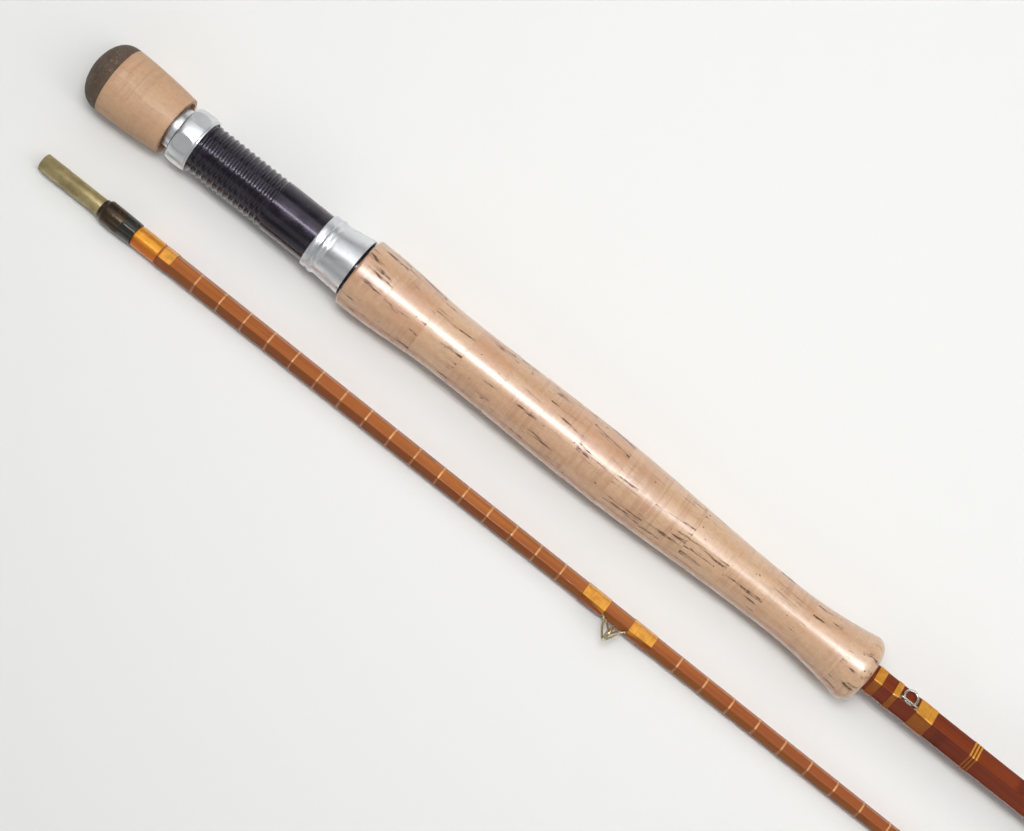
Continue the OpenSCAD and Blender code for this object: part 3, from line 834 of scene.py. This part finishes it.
def locking_nut():
    """Crowned bright nut with six milled flats."""
    start, end = span("locking_nut")
    largest = NUT_D / 2
    inside = SEAT_R + NUT_PLAY
    length = end - start
    # Shares of the length, and millimetres below the crown; the front falls a little less than the rear
    fall = [(0, 0.72), (0.02, 0.5), (0.06, 0.34), (0.13, 0.2), (0.24, 0.08), (0.37, 0.02), (0.5, 0)]
    crown = [(start + share * length, largest - drop * MM) for share, drop in fall]
    crown += [(end - share * length, largest - 0.9 * drop * MM) for share, drop in reversed(fall[:-1])]
    nut = turned("nut", BUTT, [(start, inside)] + crown + [(end, inside)], sides=144)
    opened(nut)
    for k in range(6):
        out = direction(NUT_ROLL + k * math.pi / 3)
        face = BUTT + out * (largest - NUT_FLAT)
        bpy.ops.mesh.select_all(action="SELECT")
        bpy.ops.mesh.bisect(plane_co=face, plane_no=out, use_fill=True, clear_outer=True, threshold=WELD)
    closed_up()
    done(nut, BRIGHT, "locking_nut", "locking_nut", slot="bright_metal", smooth=9)


def horn_radius(ahead, angle, thinner):
    """Radius of the flared horn of the sliding hood, a cone that leans to the reel side."""
    share = max(0, ahead - HORN_FROM) / (HOOD_LENGTH - HORN_FROM)
    return leaning(SEAT_R + HORN_NECK + HORN_FLARE * share - thinner, HORN_LEAN * share, angle)


def sliding_hood():
    """Bright hood: a crowned lip, a groove, a bead, and a horn that flares over the foot of a reel."""
    start, end = span("sliding_hood")
    sleeve = SEAT_R + HOOD_SLEEVE
    bore = SEAT_R + HOOD_PLAY
    # Millimetres from the rear edge, and above the sleeve
    lip = [(0, 0.0), (0.06, 0.06), (0.25, 0.13), (0.9, 0.18), (1.6, 0.15), (2.05, 0.07)]
    groove = [(2.2, -0.06), (2.32, -0.2), (2.5, -0.22), (2.64, -0.1)]
    bead = [(2.8, 0.12), (3.1, 0.33), (3.5, 0.46), (3.9, 0.5), (4.3, 0.45)]
    bead += [(4.7, 0.3), (5.0, 0.1), (5.25, -0.03)]
    waist = [(5.6, -HOOD_WAIST / MM)]
    outer = [(start + x * MM, sleeve + rise * MM) for x, rise in lip + groove + bead + waist]
    step = (HOOD_LENGTH - HORN_ROWS_FROM) / HORN_ROWS
    rows = [start + HORN_ROWS_FROM + k * step for k in range(HORN_ROWS)]
    outer += [(x, sleeve) for x in rows] + [(end - HOOD_EASE, sleeve), (end, sleeve - HOOD_EASE)]
    inner = [(end, bore + HOOD_MOUTH)] + [(x, bore) for x in reversed(rows)]
    piece = turned("hood", BUTT, [(start, bore)] + outer + inner, sides=144)

    def flared(x, angle, old):
        ahead = x - start
        if ahead < HORN_FROM:
            return old
        if old < (sleeve + bore) / 2:
            return max(bore, horn_radius(ahead, angle, HORN_WALL)) + old - bore
        return max(sleeve - HOOD_WAIST, horn_radius(ahead, angle, 0)) + min(0, old - sleeve)

    reshape(piece, BUTT, flared)
    done(piece, BRIGHT, "sliding_hood", "sliding_hood", slot="bright_metal", smooth=40)


def dressed(node, material):
    """A solid of the frame that keeps its shape and gets its finish."""
    NODES[node].data.materials.clear()
    NODES[node].data.materials.append(material)


# Cane

def strip_section(flat):
    """Corners of one strip: the middle of the cane, then its flat with half a round at each end."""
    soft = CANE_ROUND * flat
    half = [(flat - soft + soft * math.cos(a), (flat - soft) * TAN30 + soft * math.sin(a))
            for a in (math.pi / 6, math.pi / 12, 0)]
    return [(0, 0)] + half + [(flat * CANE_CROWN, 0)] + [(out, -along) for out, along in reversed(half)]


def split_cane(axis, section, material, body, shade_side=None):
    """Six glued strips: one is drawn out along the rod, and the others are copies turned round it.

    Shade side is the side toward which one strip gets painted shade, darker as if turned from the light,
    where there is one.
    """
    names = numbered(section + "_strip_")
    stations = skin(axis, names[0])
    turn = facing(axis, names[0])
    out, along = direction(turn), direction(turn + math.pi / 2)
    here, reach = stations[0]
    centre = Vector((here, axis.y, axis.z))
    corners = [centre + out * n + along * t for n, t in strip_section(reach * COS30)]
    model = drawn_outline(names[0] + "_cane", corners + corners[:1])
    bpy.ops.mesh.edge_face_add()
    for (x0, r0), (x1, r1) in zip(stations, stations[1:]):
        bpy.ops.mesh.extrude_region_move(TRANSFORM_OT_translate={"value": (x1 - x0, 0, 0)})
        bpy.ops.transform.resize(value=(1, r1 / r0, r1 / r0), center_override=(x1, axis.y, axis.z))
    closed_up()
    pieces = [model]
    for name in names[1:]:
        piece = model.copy()
        piece.data = model.data.copy()
        piece.name = piece.data.name = name + "_cane"
        bpy.context.collection.objects.link(piece)
        swing = Matrix.Rotation(facing(axis, name) - turn, 4, "X")
        piece.data.transform(Matrix.Translation(axis) @ swing @ Matrix.Translation(-axis))
        pieces.append(piece)
    for number, (piece, name) in enumerate(zip(pieces, names)):
        # Painted shade: the strip that faces the shade side is darkened most, its neighbours barely
        aged = 0 if shade_side is None else max(0, math.cos(facing(axis, name) - shade_side)) ** 3
        marked(piece, strip=1.0 + number, aged=aged)
        done(piece, material, body, name, slot="cane", smooth=25)


# Windings

def cane_radius(flat, off, rounding):
    """Radius of the cane at an angle off the middle of a flat, with its corners rounded by a share."""
    off = abs((off + math.pi / 6) % (math.pi / 3) - math.pi / 6)
    soft = rounding * flat
    if math.tan(off) <= (flat - soft) * TAN30 / flat:
        return flat / math.cos(off)
    reach = (flat - soft) / COS30
    lean = math.pi / 6 - off
    return reach * math.cos(lean) + math.sqrt(soft ** 2 - (reach * math.sin(lean)) ** 2)


def tent_radius(flat, off, aside, top):
    """Radius of thread drawn from the edges of a flat over a foot on it, at an angle off its middle."""
    edge = flat * TAN30
    bends = [(-edge, flat), (aside - FOOT_W / 2, top), (aside + FOOT_W / 2, top), (edge, flat)]
    for (t0, n0), (t1, n1) in zip(bends, bends[1:]):
        if math.atan2(t0, n0) <= off <= math.atan2(t1, n1):
            rise, run = n1 - n0, t1 - t0
            return (t0 * rise - n0 * run) / (math.sin(off) * rise - math.cos(off) * run)
    return 0


def cane_bore(axis, strip, x):
    """Radius of a bore that clears the corners of the cane at a place."""
    return between(skin(axis, strip), x) + TOUCH


def painted_shade_by_facing(piece):
    """Mark painted shade on a winding, as the run mark: full on the thread turned away from the lit side,
    none on the thread that faces it.
    """
    piece.data.update()
    up = direction(LIT_SIDE)
    faced = [(vertex.normal.dot(up) - LIT_FROM) / (LIT_TO - LIT_FROM) for vertex in piece.data.vertices]
    shares = [min(1, max(0, share)) for share in faced]
    # Painted shade: run is 1 on thread turned away from the lit side and 0 on thread that faces it
    marked(piece, run=[1 - share * share * (3 - 2 * share) for share in shares])


def winding(name, axis, strip, start, end, foot=None, rounding=CANE_ROUND, layer=THREAD_T, sides=144):
    """A layer of thread with rounded shoulders round the cane, and over a foot where there is one.

    A foot is the places of its toe and its heel, the direction of its flat, and how far aside it sits.
    """
    corners = skin(axis, strip)
    turn = facing(axis, strip)
    base = between(corners, start) * COS30
    soft = min(WRAP_EASE, (end - start) / 5)
    places = [x for x, radius in corners]
    if foot:
        count = max(2, int((end - start) / WRAP_STEP))
        places += [start + soft + (end - start - 2 * soft) * k / count for k in range(1, count)]
    rows = [(start, -WRAP_SINK)] + [(start + soft * x, layer * rise) for x, rise in WRAP_SHOULDER]
    rows += [(x, layer) for x in sorted(places) if start + soft < x < end - soft]
    rows += [(end - soft * x, layer * rise) for x, rise in reversed(WRAP_SHOULDER)] + [(end, -WRAP_SINK)]
    piece = turned(name, axis, [(x, base + rise) for x, rise in rows], sides, turn + math.pi / 6)

    def wrapped(x, angle, old):
        flat = between(corners, x) * COS30
        radius = cane_radius(flat, angle - turn, rounding)
        if foot and old > base:
            toe, heel, side, aside = foot
            share = min(1, max(0, (x - toe) / (heel - toe)))
            off = (angle - side + math.pi) % TURN - math.pi
            top = flat + FOOT_H * (FOOT_TOE + (1 - FOOT_TOE) * share)
            radius = max(radius, tent_radius(flat, off, aside, top))
        return radius + old - base

    reshape(piece, axis, wrapped)
    # The thread turned away from the light gets painted shade
    painted_shade_by_facing(piece)
    return piece


def wound(node, axis, section, material, body, feet=None, rounding=CANE_ROUND, sides=144):
    """All the windings of a node. Feet give the middle, flat and offset of what the thread holds down."""
    pieces = []
    for start, end in stretches(node):
        foot = None
        near = min(feet, key=lambda f: abs(f[0] - (start + end) / 2)) if feet else None
        if near and abs(near[0] - (start + end) / 2) < FOOT_REACH:
            ahead = start > near[0]
            foot = (end if ahead else start, start if ahead else end, near[1], near[2])
        strip = section + "_strip_1"
        pieces.append(winding(node + "_turns", axis, strip, start, end, foot, rounding, sides=sides))
    piece = joined(node + "_turns", pieces)
    done(piece, material, body, node, slot="winding_thread", smooth=30)


def male_winding():
    """Orange thread drawn round over the end of the male ferrule, and a gold band ahead of it."""
    over, ahead = stretches("male_winding")
    piece = winding(
        "male_orange", TIP, "tip_strip_1", over[0] - FERRULE_BARE, over[1],
        rounding=ORANGE_ROUND, layer=2 * THREAD_T,
    )
    done(piece, ORANGE, "tip_section", "male_winding", slot="winding_thread", smooth=30)
    piece = winding("male_gold", TIP, "tip_strip_1", *ahead)
    done(piece, GOLD, "tip_section", slot="winding_thread", smooth=30)


# Wire fittings

def wire_ring(name, centre, normal, radial, radius, wire):
    """A round wire bent into a ring."""
    along = normal.cross(radial).to_track_quat("Z", "Y").to_euler()
    piece = started(
        name, bpy.ops.mesh.primitive_circle_add,
        vertices=16, radius=wire / 2, location=centre + radial * radius, rotation=along,
    )
    opened(piece)
    bpy.ops.mesh.spin(steps=56, angle=TURN, center=centre, axis=normal, use_auto_merge=True)
    closed_up()
    return piece


def bent_wire(name, points, wire):
    """A round wire along a smooth curve through points."""
    curve = bpy.data.curves.new(name, "CURVE")
    curve.dimensions = "3D"
    curve.bevel_depth = wire / 2
    curve.bevel_resolution = 3
    curve.resolution_u = 8
    curve.use_fill_caps = True
    spline = curve.splines.new("BEZIER")
    spline.bezier_points.add(len(points) - 1)
    for knot, point in zip(spline.bezier_points, points):
        knot.co = point
        knot.handle_left_type = knot.handle_right_type = "AUTO"
    piece = bpy.data.objects.new(name, curve)
    bpy.context.collection.objects.link(piece)
    only(piece)
    bpy.ops.object.convert(target="MESH")
    bpy.ops.object.mode_set(mode="EDIT")
    closed_up()
    return bpy.context.object


def flat_foot(name, place, heel, toe):
    """A foot forged flat: full height at the heel, thin and broad at the toe."""
    piece = started(name, bpy.ops.mesh.primitive_cube_add, size=2)
    for vertex in piece.data.vertices:
        x, side, up = vertex.co
        tall = FOOT_H if x < 0 else FOOT_H * FOOT_TOE
        broad = FOOT_W * (HEEL_HALF if x < 0 else TOE_HALF)
        vertex.co = place(heel if x < 0 else toe, side * broad, tall if up > 0 else 0)
    opened(piece)
    closed_up()
    round_edges(piece, FOOT_EASE)
    return piece


def stand_off(axis, side, base, aside=0.0):
    """Places on a flat of the cane: along the rod, across the flat and up from it."""
    out, along = direction(side), direction(side + math.pi / 2)
    return lambda x, t, n: Vector((x, axis.y, axis.z)) + out * (base + n) + along * (t + aside)


def wire_legs(name, place, path):
    """Two bent legs, one on each side of the middle."""
    sides = [[place(x, across * t, n) for x, t, n in path] for across in (-1, 1)]
    return [bent_wire(name, points, LEG_WIRE_D) for points in sides]


def bridge_guide(node, axis, body):
    """A bridge guide: two forged feet, four bent legs and the ring that the line runs through."""
    side = facing(axis, node)
    base, top = heights(axis, node, side)
    size = (top - base) / (1 + RING_LIFT)
    place = stand_off(axis, side, base)
    start, end = span(node)
    x = (start + end) / 2
    heel = (BRIDGE_SPAN + BRIDGE_GROWTH * size) / 2
    mid = (size - GUIDE_WIRE_D) / 2
    ring_up = (RING_LIFT + 0.5) * size
    meet_up = ring_up + mid * LEG_UP
    pieces = [wire_ring(node + "_ring", place(x, 0, ring_up), X, direction(side), mid, GUIDE_WIRE_D)]
    for ahead, toe in ((-1, start), (1, end)):
        pieces.append(flat_foot(node + "_foot", place, x + ahead * (heel - 0.1 * MM), toe))
        # From under the thread, over the heel and up to the ring
        pieces += wire_legs(node + "_leg", place, [
            (x + ahead * (heel + 1.1 * MM), 0.12 * MM, 0.34 * MM),
            (x + ahead * heel, 0.25 * MM, 0.55 * MM),
            (x + ahead * heel * 0.64, 0.5 * mid, 0.46 * meet_up),
            (x + ahead * 0.2 * MM, mid * LEG_ACROSS, meet_up),
        ])
    done(joined(node + "_wire", pieces), GUIDE_WIRE, body, node, slot="guide_wire", smooth=40)


def tip_ring():
    """The tube, ring and two legs on the end of the tip section."""
    side = facing(TIP, "tip_top")
    start, end = span("tip_top")
    tube = skin(TIP, "tip_top")[0][1]
    size = heights(TIP, "tip_top", side)[1] - tube + TOP_SINK
    mid = (size - GUIDE_WIRE_D) / 2
    inside = cane_bore(TIP, "tip_strip_1", start)
    cap = end - TOP_CAP
    sleeve = [(cap, 0), (cap, inside), (start, inside), (start, tube - 0.1 * MM), (start + 0.15 * MM, tube)]
    sleeve += [(end - 0.5 * MM, tube), (end - 0.2 * MM, tube - 0.12 * MM), (end, tube - 0.5 * MM), (end, 0)]
    place = stand_off(TIP, side, 0)
    x = end - GUIDE_WIRE_D / 2 - 0.1 * MM
    up = tube + size / 2 - TOP_SINK
    pieces = [turned("tip_top_tube", TIP, sleeve, sides=48)]
    pieces.append(wire_ring("tip_top_ring", place(x, 0, up), X, direction(side), mid, GUIDE_WIRE_D))
    pieces += wire_legs("tip_top_leg", place, [
        (end - 8 * MM, 0.3 * MM, tube - 0.2 * MM),
        (end - 5 * MM, 0.6 * MM, tube + 0.9 * MM),
        (x, mid * LEG_ACROSS, up + mid * LEG_UP),
    ])
    done(joined("tip_top_wire", pieces), GUIDE_WIRE, "tip_section", "tip_top", slot="guide_wire", smooth=40)


def keeper():
    """The wire staple with its two feet, and the ring under its bar."""
    x = middle("keeper_ring").x
    base, top = heights(BUTT, "keeper_staple", BUTT_SIDE)
    place = stand_off(BUTT, BUTT_SIDE, base, KEEPER_ASIDE)
    bar = top - base - STAPLE_BAR_DROP
    # Rear leg, bend and start of the bar, from the middle of the staple; the front is its mirror image
    path = [(-KEEPER_LEG, 0.2 * MM), (-KEEPER_LEG, bar - STAPLE_BEND)]
    path += [(0.3 * STAPLE_BEND - KEEPER_LEG, bar - 0.3 * STAPLE_BEND)]
    path += [(STAPLE_BEND - KEEPER_LEG, bar), (2 * STAPLE_BEND - KEEPER_LEG, bar)]
    path += [(-along, up) for along, up in reversed(path)]
    pieces = [bent_wire("staple_bar", [place(x + along, 0, up) for along, up in path], STAPLE_WIRE_D)]
    for ahead, toe in zip((-1, 1), span("keeper_staple")):
        pieces.append(flat_foot("staple_foot", place, x + ahead * (KEEPER_LEG - 0.3 * MM), toe))
    staple = joined("staple", pieces)
    done(staple, KEEPER_WIRE, "butt_section", "keeper_staple", slot="keeper_wire", smooth=40)

    start, end = span("keeper_ring")
    radius = (end - start - KEEPER_WIRE_D) / 2
    ring = wire_ring("keeper", middle("keeper_ring"), direction(BUTT_SIDE), X, radius, KEEPER_WIRE_D)
    done(ring, KEEPER_WIRE, "keeper_ring", "keeper_ring", slot="keeper_wire", smooth=40)


# Ferrules

def male_ferrule():
    """Dull slide, dark body, and the black thread wound over the body's front."""
    start, end = span("male_ferrule")
    largest = width("male_ferrule") / 2
    slide = RECORD["mounts"][1]["dims"]["r_mm"] * MM
    neck = start + SLIDE_LENGTH
    nose = [(start, slide - 0.45 * MM), (start + 0.15 * MM, slide - 0.2 * MM), (start + 0.5 * MM, slide)]
    piece = turned("ferrule_slide", TIP, [(start, 0)] + nose + [(neck, slide), (neck, 0)])
    done(piece, SLIDE, "tip_section", "male_ferrule", slot="ferrule_metal")

    socket = cane_bore(TIP, "tip_strip_1", end - MM)
    wrap = end - FERRULE_WRAP
    plug = neck + FERRULE_PLUG
    # Millimetres from the neck, and shares of the rise from the slide to the body
    rise = [(0, 0.04), (0.35, 0.24), (0.8, 0.3), (1.15, 0.34), (1.5, 0.6), (1.9, 0.86), (2.4, 1)]
    outer = [(neck + x * MM, slide + (largest - slide) * share) for x, share in rise]
    taper = [(wrap, largest - 0.02 * MM), (end - 0.2 * MM, largest - 0.3 * MM), (end, largest - 0.45 * MM)]
    bore = [(end, socket), (plug, socket), (plug, 0)]
    body = turned("ferrule_body", TIP, [(neck, 0)] + outer + taper + bore)
    done(body, BRONZED, "tip_section", slot="ferrule_metal")

    black = softened(wrap, end, socket, largest, FERRULE_WRAP_EASE)
    fall = FERRULE_WRAP_FALL / FERRULE_WRAP
    black = [(x, min(r, largest - fall * max(0, x - wrap))) for x, r in black]
    done(turned("ferrule_wrap", TIP, black), BLACK_THREAD, "tip_section", slot="winding_thread")


def female_ferrule():
    """The socket that takes the slide, with its welt, and a plug between the bore and the cane."""
    start, end = span("female_ferrule")
    bore = RECORD["mounts"][0]["dims"]["r_mm"] * MM
    floor = end - RECORD["mounts"][0]["dims"]["length_mm"] * MM
    cane_end = span("butt_strip_1")[1]
    socket = cane_bore(BUTT, "butt_strip_1", cane_end)
    outer = [(x, r) for x, r in reversed(skin(BUTT, "female_ferrule")) if r > bore + 0.1 * MM]
    inner = [(start, socket), (cane_end + CANE_GAP, socket), (cane_end + CANE_GAP, 0)]
    outline = [(floor, 0), (floor, bore), (end, bore)] + outer + inner
    piece = turned("ferrule_socket", BUTT, outline)
    round_edges(piece, 0.1 * MM, segments=1, angle=25)
    done(piece, BRONZED, "butt_section", "female_ferrule", slot="ferrule_metal")


fighting_butt()
grip()
plain_ring("collar", "rear_collar", "butt_section", bore_of(BUTT, "rear_collar"), COLLAR_EASE)
seat_tube()
locking_nut()
plain_ring("washer", "nut_washer", "nut_washer", SEAT_R + NUT_PLAY, WASHER_EASE)
sliding_hood()
dressed("fixed_hood", INSERT)
dressed("seat_bush", BUSH)
split_cane(BUTT, "butt", BUTT_CANE, "butt_section")
# The tip's strip that faces its guides is given painted shade
split_cane(TIP, "tip", TIP_CANE, "tip_section", TIP_SIDE)

butt_guides = ["stripping_guide", "butt_guide"]
tip_guides = numbered("tip_guide_")
for node in butt_guides:
    bridge_guide(node, BUTT, "butt_section")
for node in tip_guides:
    bridge_guide(node, TIP, "tip_section")
tip_ring()
keeper()
male_ferrule()
female_ferrule()

keeper_foot = [(middle("keeper_ring").x, BUTT_SIDE, KEEPER_ASIDE)]
butt_feet = [(middle(node).x, BUTT_SIDE, 0.0) for node in butt_guides]
tip_feet = [(middle(node).x, TIP_SIDE, 0.0) for node in tip_guides]
wound("grip_winding", BUTT, "butt", GOLD, "butt_section")
wound("keeper_windings", BUTT, "butt", GOLD, "butt_section", keeper_foot)
wound("signature_windings", BUTT, "butt", GOLD, "butt_section")
wound("butt_guide_windings", BUTT, "butt", GOLD, "butt_section", butt_feet)
wound("female_winding", BUTT, "butt", ORANGE, "butt_section")
male_winding()
wound("tip_bands", TIP, "tip", PALE, "tip_section", rounding=BAND_ROUND, sides=72)
wound("tip_guide_windings", TIP, "tip", GOLD, "tip_section", tip_feet)


# Stage

# Brightness of the surroundings as they are seen, and as they light the rod
SURROUND = 0.7
AMBIENT = 0.2

# Where the lit floor gives way to plain paper: distance from the middle, counted half along the rod
PAPER_SHAPE = (0.5, 1, 1)
PAPER_FROM, PAPER_TO = 0.38, 0.55

# Heights at which the pale low part of the surround ends
PALE_FROM, PALE_TO = 0.05, 0.35

# Lamps: place, target, size in metres and power in watts
LAMPS = {
    "key": ((-0.56, 0.14, 0.78), (-0.5, 0.0, 0.0), (0.2, 0.2), 1.8),
    "strip": ((0.0, 0.15, 0.85), (0.0, 0.0, 0.0), (1.9, 0.12), 4.8),
    "broad": ((-0.2, 0.72, 1.02), (-0.2, 0.0, 0.0), (2.6, 0.8), 6.0),
    "fill": ((0.0, -0.8, 0.8), (0.0, 0.0, 0.0), (2.4, 0.45), 1.4),
}


def background_rays(tree):
    """One for the rays that show the surroundings: to the camera, in gloss and through glass."""
    path = tree.nodes.new("ShaderNodeLightPath").outputs
    seen = sums(tree, "MAXIMUM", path["Is Camera Ray"], path["Is Glossy Ray"])
    return sums(tree, "MAXIMUM", seen, path["Is Transmission Ray"])


def studio_floor():
    """Plain pale surface that the rod lies on, lit near the rod and an even tone away from it."""
    piece = started("floor", bpy.ops.mesh.primitive_plane_add, size=8, location=(0, 0, 0))
    paint = srgb(238, 238, 236)
    material, tree, place = finish("floor", Base_Color=paint, Roughness=0.9, Specular_IOR_Level=0.2)
    shader = tree.nodes["Principled BSDF"]
    near = vectors(tree, "MULTIPLY", {0: place, 1: PAPER_SHAPE})[0]
    away = ramped(tree, vectors(tree, "LENGTH", {0: near})["Value"], PAPER_FROM, PAPER_TO)
    paper = add(tree, "ShaderNodeEmission", {"Color": (SURROUND, SURROUND, SURROUND, 1)})
    share = times(tree, away, background_rays(tree))
    mixed = add(tree, "ShaderNodeMixShader", {0: share, 1: shader.outputs["BSDF"], 2: paper.outputs[0]})
    tree.links.new(mixed.outputs[0], tree.nodes["Material Output"].inputs["Surface"])
    piece.data.materials.append(material)


def softbox(name, place, target, size, power):
    """A rectangular lamp that faces a target."""
    lamp = bpy.data.lights.new(name, "AREA")
    lamp.shape = "RECTANGLE"
    lamp.size, lamp.size_y = size
    lamp.energy = power
    holder = bpy.data.objects.new(name, lamp)
    holder.location = place
    holder.rotation_euler = (Vector(target) - Vector(place)).to_track_quat("-Z", "Y").to_euler()
    bpy.context.collection.objects.link(holder)


def studio_light():
    """The lamps, and a dim surround that is seen pale low down."""
    for name, settings in LAMPS.items():
        softbox(name, *settings)
    world = bpy.data.worlds.new("surround")
    world.use_nodes = True
    tree = world.node_tree
    backdrop = tree.nodes["Background"]
    backdrop.inputs["Color"].default_value = (1, 1, 1, 1)
    toward = tree.nodes.new("ShaderNodeTexCoord").outputs["Generated"]
    height = add(tree, "ShaderNodeSeparateXYZ", {"Vector": toward}).outputs["Z"]
    low = ramped(tree, height, PALE_FROM, PALE_TO, SURROUND - AMBIENT, 0.0)
    seen = times(tree, low, background_rays(tree))
    tree.links.new(sums(tree, "ADD", seen, AMBIENT), backdrop.inputs["Strength"])
    bpy.context.scene.world = world


def photo_camera():
    """The view of the photograph: straight down on the rear of the rod, turned across the frame."""
    lens = bpy.data.cameras.new("camera")
    lens.lens = 75.6
    lens.sensor_width = 36
    camera = bpy.data.objects.new("camera", lens)
    camera.location = (-0.5083, 0.0112, 0.75)
    camera.rotation_euler.z = math.radians(38.46)
    bpy.context.collection.objects.link(camera)
    bpy.context.scene.camera = camera


studio_floor()
studio_light()
photo_camera()
bpy.context.scene.view_settings.view_transform = "Standard"
